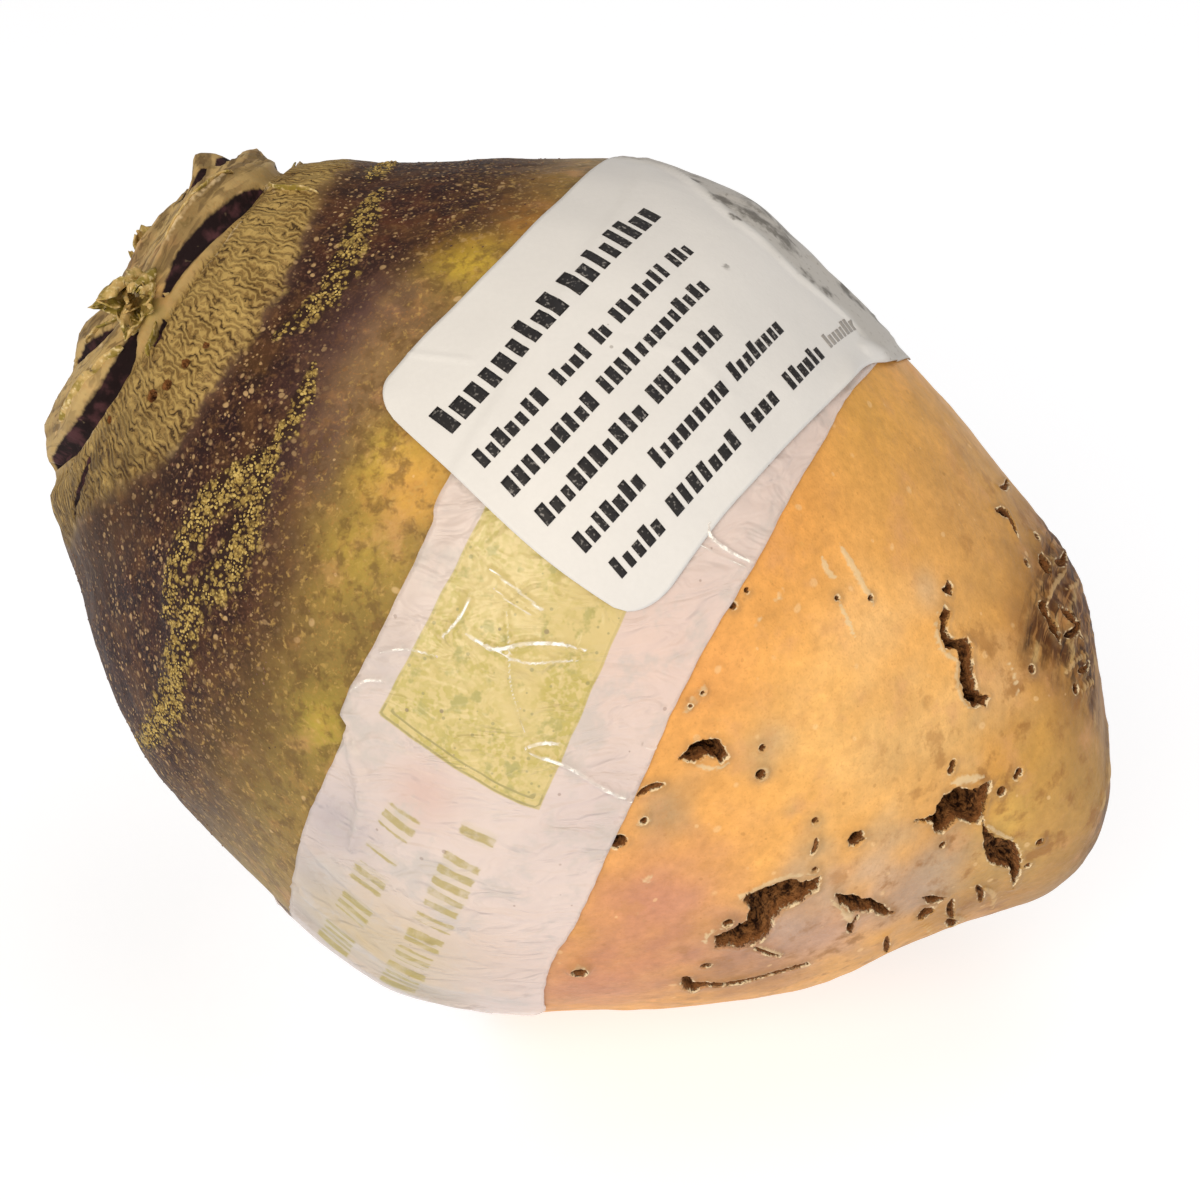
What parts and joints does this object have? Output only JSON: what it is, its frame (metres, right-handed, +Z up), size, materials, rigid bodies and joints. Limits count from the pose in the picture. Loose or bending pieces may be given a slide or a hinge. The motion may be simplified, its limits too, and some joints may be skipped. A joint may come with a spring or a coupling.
{
  "type": "turnip",
  "caption": "Swede turnip lying on its side, rounded and tapering from a scarred crown to a blunt tail, wrapped in a band of thin film with a paper label stuck on it.",
  "frame": {"origin": "middle of the flat spot that the root rests on", "axes": "+X from the crown towards the tail, +Z up, and the side with the label's foot faces -Y"},
  "size_m": [0.1526, 0.1258, 0.1256],
  "materials": {
    "flesh": "dull waxy skin, purple-brown at the crown and orange towards the tail",
    "film": "thin wrinkled clear film, milky pink over the root",
    "paper": "smooth white label paper"
  },
  "bodies": {
    "root": {"turnip_root": "flesh", "film_band": "film", "paper_label": "paper"}
  },
  "joints": []
}
